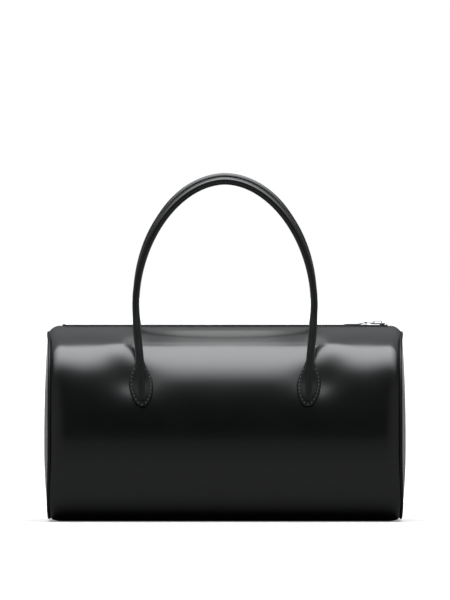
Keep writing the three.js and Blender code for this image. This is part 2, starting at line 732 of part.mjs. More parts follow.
for (const [side, turned] of [["front", false], ["rear", true]]) {
  const half = turnedGroup(turned);
  add(half, `handle_cover_${side}`, handleCover(), handleLeather);
  add(half, `handle_core_${side}`, handleCore(), cottonCord);
  const mirrorX = new THREE.Matrix4().makeScale(-1, 1, 1);
  const otherSide = (geometry) => weld([geometry.clone().applyMatrix4(mirrorX).toNonIndexed()]);
  const hands = turned ? ["left", "right"] : ["right", "left"];
  add(half, `handle_tab_${side}_${hands[0]}`, handleTab(), handleLeather);
  add(half, `handle_tab_${side}_${hands[1]}`, otherSide(handleTab()), handleLeather);
  add(half, `tab_backing_${side}_${hands[0]}`, tabBacking(), bondedBoard);
  add(half, `tab_backing_${side}_${hands[1]}`, otherSide(tabBacking()), bondedBoard);
}

export default bag;
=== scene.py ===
import math

import bmesh
import bpy
from mathutils import Matrix, Vector


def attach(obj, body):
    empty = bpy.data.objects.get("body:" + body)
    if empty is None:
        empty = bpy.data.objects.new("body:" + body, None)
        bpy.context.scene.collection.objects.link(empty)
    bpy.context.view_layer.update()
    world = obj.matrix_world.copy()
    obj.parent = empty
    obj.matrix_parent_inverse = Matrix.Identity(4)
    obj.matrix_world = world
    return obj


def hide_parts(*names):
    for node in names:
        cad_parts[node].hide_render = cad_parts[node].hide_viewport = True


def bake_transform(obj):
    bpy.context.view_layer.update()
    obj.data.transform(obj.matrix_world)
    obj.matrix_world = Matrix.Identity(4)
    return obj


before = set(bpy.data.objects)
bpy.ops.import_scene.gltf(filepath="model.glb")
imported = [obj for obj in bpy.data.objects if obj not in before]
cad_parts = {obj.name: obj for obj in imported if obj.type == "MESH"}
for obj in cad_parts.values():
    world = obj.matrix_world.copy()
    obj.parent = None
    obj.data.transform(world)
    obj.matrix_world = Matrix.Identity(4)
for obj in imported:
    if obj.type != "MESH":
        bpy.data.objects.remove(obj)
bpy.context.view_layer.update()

# Body panel: one sheet of polished calf leather, wrapped from the zip's front edge down the front,
# under the base and up the rear to the zip's other edge. Boards and the two sewn ends hold its shape,
# and the stitched handle tabs draw shallow hollows into it.
MM = 0.001  # the bag's sizes are in millimetres, and its meshes in metres
BODY_HEIGHT = 195.5
BODY_DEPTH = 176.0
BELLY_HEIGHT = 80.0
BASE_SINK = 4.0  # the lower curve would run this far below the flat base
BASE_SOFTNESS = 2.0  # how gently the flat base runs into the lower curve
BASE_SETTLE = 0.2  # sets the softened base back down on the floor
CROWN_FULLNESS = 2.05  # 2 is an ellipse, and more is squarer
BASE_FULLNESS = 3.2
BODY_WALL = 1.8
BODY_REACH = 173.2  # from the middle to the end seams
BARREL = 2.0  # the front and rear each come in this far from the middle to the ends
END_ROUND = 24.0  # radius of the rounding into the end seams
END_TURN = math.radians(25)
SIDE_ROUND = 60.0  # the front and rear are rounded more gently than the crown and the base
SIDE_TURN = math.radians(16)
CROWN_ROUND = 2.4  # the crown takes this many times the end's rounding
BASE_ROUND = 1.1  # and the base this many
BASE_FLARE = 2.0  # the ends stand this much wider at the base than at the belly
BASE_FLARE_TOP, BASE_FLARE_FULL = 75.0, 10.0  # heights where that flare starts and is full
BASE_TURN_FOOT, BASE_TURN_TOP = -5.0, 20.0  # it fades where the leather turns under the bag
CROWN_FLARE = 2.4  # the ends stand this much wider at the crown
CROWN_FLARE_FOOT, CROWN_FLARE_FULL = 176.0, 189.0
FLARE_START = 110.0  # both flares grow from here towards the ends
SEAM_CURL = 0.35  # the leather's edge curls into the end seam
SEAM_CURL_WIDTH = 2.5
SHOULDER_SWELL = 2.9  # the shoulders stand out past the handles
SHOULDER_START, SHOULDER_FULL = 72.0, 130.0  # distances from the middle
END_SWELL = 1.9  # the end boards push the shoulders out further
END_SWELL_START, END_SWELL_FULL = 138.0, 168.0
SWELL_FOOT = 115.0
SWELL_HEIGHT = 167.0  # where the shoulders stand out most
MOUTH = 26.0  # width of the slot for the zip
ROUND_START = BODY_REACH - END_ROUND * math.sin(END_TURN)
# Hollows, and swells below nought, in the front and rear where the handles pull at the leather:
# distance from the middle, height, half width, half height, depth.
HOLLOWS = (
    (93, 141, 23, 17, 3.1),
    (106, 175, 18, 12, -2.2),
)
SLOPE_TURN = 1e-3  # a small turn, between whose ends the section's slope is taken
FINE_STEPS = 3000  # samples of the section, for measuring along it


def mix(a, b, share):
    return a + (b - a) * share


def smooth(low, high, value):
    share = min(max((value - low) / (high - low), 0), 1)
    return share * share * (3 - 2 * share)


def round_off(x, radius, turn):
    """How far an arc of this radius draws the leather in at x, if it turns this far by the end seam."""
    lean = max(math.sin(turn) - (BODY_REACH - abs(x)) / radius, 0)
    return radius * (1 - math.sqrt(1 - lean * lean))


def drawn_in(x):
    """At x, how far the belly, the crown and the base are drawn in, and how far the shoulders swell."""
    away = abs(x)
    rounded = round_off(x, END_ROUND, END_TURN)
    curl = SEAM_CURL * smooth(BODY_REACH - SEAM_CURL_WIDTH, BODY_REACH, away) ** 2
    side = round_off(x, SIDE_ROUND, SIDE_TURN) + BARREL * (x / BODY_REACH) ** 2 + curl
    swell = SHOULDER_SWELL * smooth(SHOULDER_START, SHOULDER_FULL, away)
    swell += END_SWELL * smooth(END_SWELL_START, END_SWELL_FULL, away)
    return side, rounded * CROWN_ROUND + curl, rounded * BASE_ROUND + curl, swell


def flare(x, z):
    """How far the leather stands out past x at a height, towards the end on that side."""
    low = smooth(BASE_FLARE_TOP, BASE_FLARE_FULL, z) * smooth(BASE_TURN_FOOT, BASE_TURN_TOP, z)
    out = BASE_FLARE * low + CROWN_FLARE * smooth(CROWN_FLARE_FOOT, CROWN_FLARE_FULL, z)
    return math.copysign(out * smooth(FLARE_START, ROUND_START, abs(x)), x)


def deeper(inset, by):
    """What drawn_in gives, moved further in by the same distance all round."""
    side, crown, base, swell = inset
    return side + by, crown + by, base + by, swell


def section(angle, side, crown, base, swell=0.0):
    """A point of the body's section. Angle 0 is the front belly, a quarter turn is the crown."""
    c, s = math.cos(angle), math.sin(angle)
    upper = s >= 0
    power = 2 / (CROWN_FULLNESS if upper else BASE_FULLNESS)
    rise = BODY_HEIGHT - BELLY_HEIGHT - crown if upper else BELLY_HEIGHT + BASE_SINK - base
    half = BODY_DEPTH / 2 - side
    y = -math.copysign(abs(c) ** power, c) * half
    z = BELLY_HEIGHT + math.copysign(abs(s) ** power, s) * rise
    if upper:
        forward = -math.copysign(abs(c) ** (2 - power), c) / half
        out = Vector((forward, s ** (2 - power) / rise)).normalized()
        lift = swell * smooth(SWELL_FOOT, SWELL_HEIGHT, z) * smooth(BODY_HEIGHT, SWELL_HEIGHT, z)
        y, z = y + out.x * lift, z + out.y * lift
    z -= base
    return y, base + max((z + math.hypot(z, BASE_SOFTNESS)) / 2 - BASE_SETTLE, 0)


def hollow(x, z):
    """How far the hollows draw the leather in at a place on the front or rear."""
    deep = 0
    for across, height, wide, tall, depth in HOLLOWS:
        deep += depth * math.exp(-(((abs(x) - across) / wide) ** 2) - ((z - height) / tall) ** 2)
    return deep


def on_body(x, angle, lift=0.0):
    """A point on the leather at x and an angle, lifted outwards, in millimetres."""
    inset = drawn_in(x)
    y, z = section(angle, *inset)
    y1, z1 = section(angle + SLOPE_TURN, *inset)
    y0, z0 = section(angle - SLOPE_TURN, *inset)
    along = Vector((y1 - y0, z1 - z0)).normalized()
    lift -= hollow(x, z)
    return Vector((x + flare(x, z), y - along.y * lift, z + along.x * lift))


def crown_angle(distance):
    """The angle at which the crown is this far in front of the middle."""
    return math.acos((distance / (BODY_DEPTH / 2)) ** (CROWN_FULLNESS / 2))


def front_angle(height):
    """The angle at which the front, above its belly, is at this height."""
    return math.asin(((height - BELLY_HEIGHT) / (BODY_HEIGHT - BELLY_HEIGHT)) ** (CROWN_FULLNESS / 2))


def even_angles(start, end, steps):
    """Angles from start to end that are evenly spaced along the section."""
    fine = [mix(start, end, k / FINE_STEPS) for k in range(FINE_STEPS + 1)]
    places = [Vector(section(angle, 0, 0, 0)) for angle in fine]
    run = [0.0]
    for a, b in zip(places, places[1:]):
        run.append(run[-1] + (b - a).length)
    found, at = [], 0
    for k in range(steps + 1):
        while at < FINE_STEPS and run[at] < run[-1] * k / steps - 1e-9:
            at += 1
        found.append(fine[at])
    return found


def grid_over(place, across, along):
    """A grid over the unit square with each point moved to place(u, v), which is in millimetres."""
    bm = bmesh.new()
    bmesh.ops.create_grid(bm, x_segments=across, y_segments=along, size=0.5)
    for vert in bm.verts:
        vert.co = place(vert.co.x + 0.5, vert.co.y + 0.5) * MM
    bmesh.ops.remove_doubles(bm, verts=bm.verts, dist=1e-6)
    bmesh.ops.recalc_face_normals(bm, faces=bm.faces)
    return bm


def finished(name, bm, material, body=None):
    """Makes a smooth-shaded object of a bmesh, and puts it on a body if one is named."""
    mesh = bpy.data.meshes.new(name)
    bm.to_mesh(mesh)
    bm.free()
    mesh.shade_smooth()
    mesh.materials.append(material)
    obj = bpy.data.objects.new(name, mesh)
    bpy.context.collection.objects.link(obj)
    if body:
        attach(obj, body)
    return obj


def walled(obj, thickness, edge):
    """Gives a sheet its thickness, inwards, and rounds its cut edges."""
    wall = obj.modifiers.new("wall", "SOLIDIFY")
    wall.thickness = thickness * MM
    wall.offset = -1
    rounding = obj.modifiers.new("edges", "BEVEL")
    rounding.width = edge * MM
    rounding.segments = 3
    rounding.limit_method = "ANGLE"
    rounding.angle_limit = math.radians(60)


def linear(colour):
    """A linear colour from an sRGB hex value."""
    channels = [int(colour[k : k + 2], 16) / 255 for k in (1, 3, 5)]
    return [c / 12.92 if c <= 0.04045 else ((c + 0.055) / 1.055) ** 2.4 for c in channels] + [1]


def add(tree, kind, links=None, **settings):
    """Adds a node. links holds its inputs by name or number: sockets to join, or plain values."""
    node = tree.nodes.new(kind)
    for name, value in settings.items():
        setattr(node, name, value)
    for name, value in (links or {}).items():
        if isinstance(value, bpy.types.NodeSocket):
            tree.links.new(value, node.inputs[name])
        else:
            node.inputs[name].default_value = value
    return node


def blank(name):
    """A new material, its node tree and its Principled shader."""
    material = bpy.data.materials.new(name)
    material.use_nodes = True
    tree = material.node_tree
    return material, tree, tree.nodes["Principled BSDF"]


# Polished calf: drum-dyed black, plated smooth and finished with a clear lacquer. The lacquer gives
# soft-edged bright reflections, and the grain under it only breaks them up a little.
polished_leather, tree, shader = blank("polished_calf_leather")
where = add(tree, "ShaderNodeTexCoord").outputs["Object"]
PORE = 0.9 * MM  # real pores are about 0.3 mm apart; drawn coarser so that they show
pores = add(tree, "ShaderNodeTexVoronoi", {"Vector": where, "Scale": 1 / PORE}, feature="SMOOTH_F1")
CLOUD = 40 * MM  # broad, faint unevenness of the dye and the polish
cloud = add(tree, "ShaderNodeTexNoise", {"Vector": where, "Scale": 1 / CLOUD, "Detail": 3.0})
dye = add(tree, "ShaderNodeMix", {"Factor": cloud.outputs["Fac"]}, data_type="RGBA")
dye.inputs[6].default_value = linear("#070808")
dye.inputs[7].default_value = linear("#0c0d0e")
polish = add(tree, "ShaderNodeMapRange", {"Value": cloud.outputs["Fac"], "To Min": 0.27, "To Max": 0.35})
grain = add(
    tree,
    "ShaderNodeBump",
    {"Height": pores.outputs["Distance"], "Strength": 0.06, "Distance": 0.05 * MM},
)
tree.links.new(dye.outputs[2], shader.inputs["Base Color"])
tree.links.new(polish.outputs["Result"], shader.inputs["Roughness"])
tree.links.new(grain.outputs["Normal"], shader.inputs["Normal"])
shader.inputs["IOR"].default_value = 1.5
shader.inputs["Coat Weight"].default_value = 1.0
shader.inputs["Coat Roughness"].default_value = 0.16
shader.inputs["Coat IOR"].default_value = 1.5

BODY_EDGE = 0.5  # rounding of the leather's cut edges
MOUTH_ANGLE = crown_angle(MOUTH / 2)
GIRTH_STEPS = 150
LENGTH_STEPS = 150
girth = even_angles(MOUTH_ANGLE, -math.pi - MOUTH_ANGLE, GIRTH_STEPS)


def body_x(v):
    """Stations along the body, closer together towards the rounded ends."""
    share = 2 * v - 1
    return BODY_REACH * (share + math.sin(share * math.pi / 2)) / 2


body_panel = finished(
    "body_panel_leather",
    grid_over(lambda u, v: on_body(body_x(v), girth[round(u * GIRTH_STEPS)]), GIRTH_STEPS, LENGTH_STEPS),
    polished_leather,
    "bag",
)
walled(body_panel, BODY_WALL, BODY_EDGE)
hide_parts("body_panel")

# Lining and boards: a cotton lining hangs inside the leather, and boards of bonded leather fibre stiffen
# the base, the two ends and the places where the handle tabs are sewn through.
LINING = 0.8
LINING_EDGE = 0.2
LINING_SIDE, LINING_CROWN, LINING_BASE = 6.1, 4.1, 4.4  # how far it lies inside the leather's face
LINING_GIRTH_STEPS, LINING_LENGTH_STEPS = 80, 24
lining_girth = even_angles(MOUTH_ANGLE, -math.pi - MOUTH_ANGLE, LINING_GIRTH_STEPS)

# Cotton twill: dyed dark brown and left without a finish, so it is matt, with a soft diagonal rib.
lining_cloth, tree, shader = blank("cotton_twill_lining")
where = add(tree, "ShaderNodeTexCoord").outputs["Object"]
TWILL = 0.9 * MM  # spacing of the twill's diagonal ribs
turned = add(tree, "ShaderNodeMapping", {"Vector": where, "Rotation": (0, math.radians(45), 0)})
ribs = add(
    tree,
    "ShaderNodeTexWave",
    {"Vector": turned.outputs["Vector"], "Scale": 1 / (20 * TWILL), "Distortion": 0.4},
)
cloth = add(tree, "ShaderNodeMix", {"Factor": ribs.outputs["Fac"]}, data_type="RGBA")
cloth.inputs[6].default_value = linear("#241f1d")
cloth.inputs[7].default_value = linear("#3a322e")
relief = add(tree, "ShaderNodeBump", {"Height": ribs.outputs["Fac"], "Strength": 0.4, "Distance": 0.1 * MM})
tree.links.new(cloth.outputs[2], shader.inputs["Base Color"])
tree.links.new(relief.outputs["Normal"], shader.inputs["Normal"])
shader.inputs["Roughness"].default_value = 0.9
shader.inputs["Sheen Weight"].default_value = 0.2


def lining_place(u, v):
    angle = lining_girth[round(u * LINING_GIRTH_STEPS)]
    y, z = section(angle, LINING_SIDE, LINING_CROWN, LINING_BASE)
    return Vector((mix(-ROUND_START, ROUND_START, v), y, max(z, LINING_BASE)))


lining = finished(
    "lining_body_cloth",
    grid_over(lining_place, LINING_GIRTH_STEPS, LINING_LENGTH_STEPS),
    lining_cloth,
    "bag",
)
walled(lining, LINING, LINING_EDGE)
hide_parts("lining_body")

# Bonded board: shredded leather pressed with latex, so it is a dull brown with a mottled face.
bonded_board, tree, shader = blank("bonded_leather_board")
where = add(tree, "ShaderNodeTexCoord").outputs["Object"]
FIBRE = 1.5 * MM  # size of the clumps of fibre
fibres = add(
    tree,
    "ShaderNodeTexNoise",
    {"Vector": where, "Scale": 1 / FIBRE, "Detail": 6.0, "Roughness": 0.7},
)
fibre_mix = add(tree, "ShaderNodeMix", {"Factor": fibres.outputs["Fac"]}, data_type="RGBA")
fibre_mix.inputs[6].default_value = linear("#3a3029")
fibre_mix.inputs[7].default_value = linear("#6b5a4b")
tree.links.new(fibre_mix.outputs[2], shader.inputs["Base Color"])
shader.inputs["Roughness"].default_value = 0.9
for node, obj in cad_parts.items():
    if node.startswith(("base_board", "end_stiffener", "tab_backing")):
        obj.data.materials.clear()
        obj.data.materials.append(bonded_board)

# End panels: two domed discs of the same polished leather, each laid over a stiff board. Each is sewn to
# the body with a piping in the seam, and a disc of the lining cloth covers it on the inside.
SEWN_GAP = 0.3  # between sewn layers
END_WALL = 1.8
END_DOME = 4.8
RIM_TUCK = 0.9  # the rim turns down this far into the seam
RIM_TUCK_START = 0.96  # past this share of the way from the middle to the rim
END_INSET = drawn_in(BODY_REACH)
PIPING_RADIUS = 1.6
PIPING_X = BODY_REACH + SEWN_GAP + PIPING_RADIUS
PIPING_INSET = deeper(END_INSET, BODY_WALL / 2)
INSIDE_PIPING = deeper(PIPING_INSET, PIPING_RADIUS + SEWN_GAP)
END_PANEL_X = PIPING_X - END_WALL / 2
LINING_END_X = END_PANEL_X - 2.0  # the stiffener lies between them
LINING_WAVE = 0.4  # the loose cloth waves this much
SEAM_FLARE = 0.5  # the seam takes this share of the leather's flare
SEAM_DIP = 1.2  # and dips this far where it passes under the zip
SEAM_DIP_START = 0.9  # sine of the angle at which the dip starts
RIM_STEPS = 140
DISC_STEPS = 40
rim_angles = even_angles(math.pi / 2, -1.5 * math.pi, RIM_STEPS)


def rim_point(angle, inset):
    """A point of the seam's outline at an end, which dips where it passes under the zip."""
    y, z = section(angle, *inset)
    dip = SEAM_DIP * smooth(SEAM_DIP_START, 1, math.sin(angle))
    return Vector((SEAM_FLARE * flare(BODY_REACH, z), y, z - dip))


def end_disc(side, face, wall):
    """A closed disc across the end: face(share) is its outer face from the middle to the rim."""

    def place(u, v):
        # The outer face runs from the middle to the rim, and the inner face back to the middle.
        share = min(2 * v, 2 - 2 * v)
        rim = rim_point(rim_angles[round(u * RIM_STEPS) % RIM_STEPS], INSIDE_PIPING)
        x = face(share) + rim.x * share**2 - (0 if v <= 0.5 else wall)
        return Vector((side * x, mix(0, rim.y, share), mix(BELLY_HEIGHT, rim.z, share)))

    return grid_over(place, RIM_STEPS, DISC_STEPS)


def end_dome(share):
    """The dome, with its rim turned down into the seam."""
    tucked = RIM_TUCK * smooth(RIM_TUCK_START, 1, share) ** 2
    return END_PANEL_X + END_WALL + END_DOME * (1 - share**2) - tucked


def end_lining(share):
    """The lining's face, which waves a little because the cloth is loose."""
    return LINING_END_X - LINING_WAVE * math.sin(3 * share) ** 2


for side, name in ((1, "right"), (-1, "left")):
    panel = finished(
        f"end_panel_{name}_leather",
        end_disc(side, end_dome, END_WALL),
        polished_leather,
        "bag",
    )
    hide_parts(f"end_panel_{name}")
    end_cloth = finished(
        f"lining_end_{name}_cloth",
        end_disc(side, end_lining, LINING),
        lining_cloth,
        "bag",
    )
    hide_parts(f"lining_end_{name}")

# Piping: a cord wrapped in a strip of thin leather and caught in the seam round each end. It covers the
# seam's stitches and stands a little proud of both panels.
PIPING_SIDES = 12

# Unpolished leather: dyed black and left without lacquer, so it shows duller and darker than the panels.
piping_leather, tree, shader = blank("unpolished_piping_leather")
where = add(tree, "ShaderNodeTexCoord").outputs["Object"]
NAP = 0.7 * MM  # the grain of the thin strip, drawn coarser than life so that it shows
nap = add(tree, "ShaderNodeTexVoronoi", {"Vector": where, "Scale": 1 / NAP}, feature="SMOOTH_F1")
nap_dye = add(tree, "ShaderNodeMix", {"Factor": nap.outputs["Distance"]}, data_type="RGBA")
nap_dye.inputs[6].default_value = linear("#050505")
nap_dye.inputs[7].default_value = linear("#0d0d0d")
nap_bump = add(
    tree,
    "ShaderNodeBump",
    {"Height": nap.outputs["Distance"], "Strength": 0.3, "Distance": 0.08 * MM},
)
tree.links.new(nap_dye.outputs[2], shader.inputs["Base Color"])
tree.links.new(nap_bump.outputs["Normal"], shader.inputs["Normal"])
shader.inputs["Roughness"].default_value = 0.42


def piping_place(side):
    ring = [Vector((PIPING_X, 0, 0)) + rim_point(angle, PIPING_INSET) for angle in rim_angles[:-1]]

    def place(u, v):
        at = round(u * RIM_STEPS) % RIM_STEPS
        ahead = (ring[(at + 1) % RIM_STEPS] - ring[at - 1]).normalized()
        out = ahead.cross(Vector((1, 0, 0))).normalized()
        turn = v * 2 * math.pi
        point = ring[at] + (out * math.cos(turn) + Vector((1, 0, 0)) * math.sin(turn)) * PIPING_RADIUS
        return Vector((side * point.x, point.y, point.z))

    return place


for side, name in ((1, "right"), (-1, "left")):
    piping = finished(
        f"piping_{name}_leather",
        grid_over(piping_place(side), RIM_STEPS, PIPING_SIDES),
        piping_leather,
        "bag",
    )
    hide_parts(f"piping_{name}")

# Zip tapes: two woven polyester tapes, sewn under the leather's edges along the slot. They rise a little
# to the chain between them.
CHAIN_LIFT = 0.3  # the chain's middle stands this far above the crown
CHAIN_Z = BODY_HEIGHT + CHAIN_LIFT
TAPE = 0.8
TAPE_EDGE = 0.15
TAPE_INNER, TAPE_OUTER = 4.3, 21.3  # distances of its edges from the middle
TAPE_REACH = ROUND_START - SEWN_GAP
TAPE_SEWN = MOUTH / 2 - 1.0  # where it has come down under the leather
TAPE_SINK = BODY_WALL + 0.9  # and how deep it lies there
TAPE_COLUMNS, TAPE_STEPS = 16, 60

# Woven polyester: fine black yarns in a herringbone, so it is matt beside the leather and the metal. The
# colours of its yarns are also darker than the tape's own black, as painted shade for the gap in the slot
# between the leather's edges.
tape_cloth, tree, shader = blank("woven_polyester_tape")
where = add(tree, "ShaderNodeTexCoord").outputs["Object"]
YARN = 1.1 * MM  # spacing of the herringbone's yarns, drawn a little coarser so that it shows
rows = add(
    tree,
    "ShaderNodeTexWave",
    {"Vector": where, "Scale": 1 / (20 * YARN), "Distortion": 1.5, "Detail Scale": 3.0},
    bands_direction="DIAGONAL",
)
# The two colours of the yarns hold painted shade: they are darker than the tape's own black, so that the
# slot reads as a shadowed gap.
yarn_and_painted_shade = add(tree, "ShaderNodeMix", {"Factor": rows.outputs["Fac"]}, data_type="RGBA")
yarn_and_painted_shade.inputs[6].default_value = linear("#080808")
yarn_and_painted_shade.inputs[7].default_value = linear("#1a1b1c")
weave = add(tree, "ShaderNodeBump", {"Height": rows.outputs["Fac"], "Strength": 0.5, "Distance": 0.12 * MM})
tree.links.new(yarn_and_painted_shade.outputs[2], shader.inputs["Base Color"])
tree.links.new(weave.outputs["Normal"], shader.inputs["Normal"])
shader.inputs["Roughness"].default_value = 0.85
shader.inputs["Specular IOR Level"].default_value = 0.2
shader.inputs["Sheen Weight"].default_value = 0.06


def tape_place(side):
    def place(u, v):
        y = mix(TAPE_INNER, TAPE_OUTER, u)
        under = mix(-CHAIN_LIFT - TAPE / 2, TAPE_SINK, smooth(TAPE_INNER, TAPE_SEWN, y))
        z = section(crown_angle(y), 0, under, 0)[1]
        return Vector((mix(-TAPE_REACH, TAPE_REACH, v), side * y, z))

    return place


for side, name in ((-1, "front"), (1, "rear")):
    tape = finished(
        f"zip_tape_{name}_cloth",
        grid_over(tape_place(side), TAPE_COLUMNS, TAPE_STEPS),
        tape_cloth,
        "bag",
    )
    walled(tape, TAPE, TAPE_EDGE)
    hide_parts(f"zip_tape_{name}")

# Zip chain: nickel-plated brass teeth, clamped on the beaded edge of each tape so that the two rows mesh.
# The slider runs along them, between stops at both ends.
TOOTH_PITCH = 3.2
TOOTH_WIDTH = 1.2
TOOTH_REACH = 1.2  # a tooth reaches this far past the middle
TOOTH_HEIGHT = 1.2
TOOTH_EDGE = 0.35
BEAD_OUTER = 4.0  # outer edge of a tape's bead, from the middle
SLIDER_LENGTH = 16.0
SLIDER_EDGE = 0.4
STOP_LENGTH = 1.6
SLIDER_X = TAPE_REACH - STOP_LENGTH - 2 * SEWN_GAP - SLIDER_LENGTH / 2
CHAIN_START = 2 * STOP_LENGTH + 2 * SEWN_GAP - TAPE_REACH
CHAIN_END = SLIDER_X - SLIDER_LENGTH / 2 + 2  # the last teeth stand just inside the slider
teeth = int((CHAIN_END - CHAIN_START - TOOTH_PITCH) / TOOTH_PITCH)

# Nickel plate: polished and then rubbed by use, so it mirrors the lights with slightly blurred edges.
nickel, tree, shader = blank("polished_nickel_plate")
where = add(tree, "ShaderNodeTexCoord").outputs["Object"]
SCRATCH = 2.0 * MM  # spacing of the rubbed patches
scratches = add(
    tree,
    "ShaderNodeTexNoise",
    {"Vector": where, "Scale": 1 / SCRATCH, "Detail": 8.0, "Roughness": 0.75},
)
rub = add(tree, "ShaderNodeMapRange", {"Value": scratches.outputs["Fac"], "To Min": 0.1, "To Max": 0.24})
tree.links.new(rub.outputs["Result"], shader.inputs["Roughness"])
shader.inputs["Base Color"].default_value = linear("#c9cbce")
shader.inputs["Metallic"].default_value = 1.0

for side, name, shift in ((1, "rear", 0.0), (-1, "front", 0.5)):
    bm = bmesh.new()
    for k in range(teeth):
        x = CHAIN_START + (k + 0.5 + shift) * TOOTH_PITCH
        middle = Vector((x, side * (BEAD_OUTER - TOOTH_REACH) / 2, CHAIN_Z)) * MM
        size = Vector((TOOTH_WIDTH, BEAD_OUTER + TOOTH_REACH, TOOTH_HEIGHT)) * MM
        bmesh.ops.create_cube(bm, size=1, matrix=Matrix.LocRotScale(middle, None, size))
    bmesh.ops.bevel(
        bm,
        geom=bm.edges[:],
        offset=TOOTH_EDGE * MM,
        affect="EDGES",
        segments=1,
        profile=0.5,
        material=-1,
    )
    row = finished(f"zip_teeth_{name}_metal", bm, nickel, "bag")
    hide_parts(f"zip_teeth_{name}")


def metal_part(node, edge):
    """Keeps a CAD node's solid, welds its faces, rounds its edges and plates it."""
    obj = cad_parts[node]
    obj.data.materials.clear()
    obj.data.materials.append(nickel)
    weld = obj.modifiers.new("weld", "WELD")
    weld.merge_threshold = 1e-5
    rounding = obj.modifiers.new("edges", "BEVEL")
    rounding.width = edge * MM
    rounding.segments = 2
    rounding.limit_method = "ANGLE"
    rounding.angle_limit = math.radians(35)


for node in ("zip_top_stop_front", "zip_top_stop_rear", "zip_bottom_stop", "zip_slider"):
    metal_part(node, SLIDER_EDGE)

# Zip end tabs: short pieces of the polished leather that close the slot between the zip's ends and the
# piping. They lie flush with the body and are caught in the end seams.
END_TAB_GAP = 0.4  # between a tab and the leather beside it
END_TAB_EDGE = 0.4
END_TAB_COLUMNS, END_TAB_STEPS = 16, 12
END_TAB_ANGLE = crown_angle(MOUTH / 2 - END_TAB_GAP)


def end_tab_place(side):
    def place(u, v):
        x = mix(ROUND_START - CROWN_FLARE, BODY_REACH, v)  # the flare carries its edge to the tape
        return on_body(side * x, mix(END_TAB_ANGLE, math.pi - END_TAB_ANGLE, u))

    return place


for side, name in ((1, "right"), (-1, "left")):
    end_tab = finished(
        f"zip_end_tab_{name}_leather",
        grid_over(end_tab_place(side), END_TAB_COLUMNS, END_TAB_STEPS),
        polished_leather,
        "bag",
    )
    walled(end_tab, BODY_WALL, END_TAB_EDGE)
    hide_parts(f"zip_end_tab_{name}")

# Puller: a nickel wire link through the slider's bail, and a strap of calf leather folded round the link.
# The strap is pared thin at its tip, and lies along the zip with its tip on the teeth.
LINK_EDGE = 0.1
metal_part("puller_link", LINK_EDGE)

# Smooth calf: dyed black and polished by hand, so its highlights are crisp but its grain still shows.
trim_leather, tree, shader = blank("smooth_calf_trim_leather")
where = add(tree, "ShaderNodeTexCoord").outputs["Object"]
GRAIN = 0.8 * MM  # fine natural grain, drawn a little coarser than life so that it shows
creases = add(tree, "ShaderNodeTexVoronoi", {"Vector": where, "Scale": 1 / GRAIN}, feature="SMOOTH_F1")
WEAR = 12 * MM  # size of the patches that handling has polished
wear = add(tree, "ShaderNodeTexNoise", {"Vector": where, "Scale": 1 / WEAR, "Detail": 4.0})
trim_dye = add(tree, "ShaderNodeMix", {"Factor": wear.outputs["Fac"]}, data_type="RGBA")
trim_dye.inputs[6].default_value = linear("#060707")
trim_dye.inputs[7].default_value = linear("#0c0d0e")
trim_polish = add(tree, "ShaderNodeMapRange", {"Value": wear.outputs["Fac"], "To Min": 0.3, "To Max": 0.4})
trim_grain = add(
    tree,
    "ShaderNodeBump",
    {"Height": creases.outputs["Distance"], "Strength": 0.1, "Distance": 0.05 * MM},
)
tree.links.new(trim_dye.outputs[2], shader.inputs["Base Color"])
tree.links.new(trim_polish.outputs["Result"], shader.inputs["Roughness"])
tree.links.new(trim_grain.outputs["Normal"], shader.inputs["Normal"])
shader.inputs["IOR"].default_value = 1.5
shader.inputs["Coat Weight"].default_value = 1.0
shader.inputs["Coat Roughness"].default_value = 0.18
shader.inputs["Coat IOR"].default_value = 1.5

PIVOT = Vector((149.657, 0, 198.5))  # where the link turns in the slider's bail
LINK_LENGTH = 8.4
PULL_WIDTH = 8.6
PULL_LENGTH = 23.0
PULL_FALL = 1.8  # its tip lies this far below the pivot, on the teeth
PULL_TILT = math.asin(PULL_FALL / (LINK_LENGTH + PULL_LENGTH))
PULL_THICKNESS = 0.8
PULL_EYE = 0.95  # outer radius of the fold round the link
EYE_START, EYE_END = 0.2, 2.4  # past the link, where the fold closes down to the strap
PULL_DROOP = 0.8  # how far it sags on to the teeth past the fold
PULL_CURL = 0.9  # and how far its edges bend down over them
DROOP_START, DROOP_FULL = 1.0, 9.0  # past the link, where both start and are full
TIP_LIFT = 16.0  # the sag dies out over this length before the tip
SKIVE_LENGTH = 14.0  # the leather is pared over this length at the tip
SKIVE_SHARE = 0.4  # down to this share of its thickness
PULL_FLATNESS, PULL_BULGE = 0.3, 0.6  # powers of the section's sides and faces; 1 is an ellipse
PULL_SIDES = 28
PULL_STEPS = 60
PULL_END = LINK_LENGTH + PULL_LENGTH


def pull_point(along, across, up):
    """A point of the pull in millimetres, from its pivot along the zip, across it and upwards."""
    c, s = math.cos(PULL_TILT), math.sin(PULL_TILT)
    past = smooth(LINK_LENGTH + DROOP_START, LINK_LENGTH + DROOP_FULL, along)
    sag = past * PULL_DROOP * smooth(0, TIP_LIFT, PULL_END - along)
    sag += past * PULL_CURL * (across / (PULL_WIDTH / 2)) ** 2
    return PIVOT + Vector((-along * c - up * s, across, up * c - along * s - sag))


def pull_half_width(along):
    tip = PULL_END - PULL_WIDTH / 2
    past = max(along - tip, 0) / (PULL_WIDTH / 2)
    return PULL_WIDTH / 2 * math.sqrt(max(1 - past * past, 0))


def pull_half_height(along):
    ahead = along - LINK_LENGTH
    if ahead < 0:
        return math.sqrt(max(PULL_EYE**2 - ahead**2, 0))
    pared = mix(SKIVE_SHARE, 1, smooth(0, SKIVE_LENGTH, PULL_END - along))
    return mix(PULL_EYE, PULL_THICKNESS / 2, smooth(EYE_START, EYE_END, ahead)) * pared


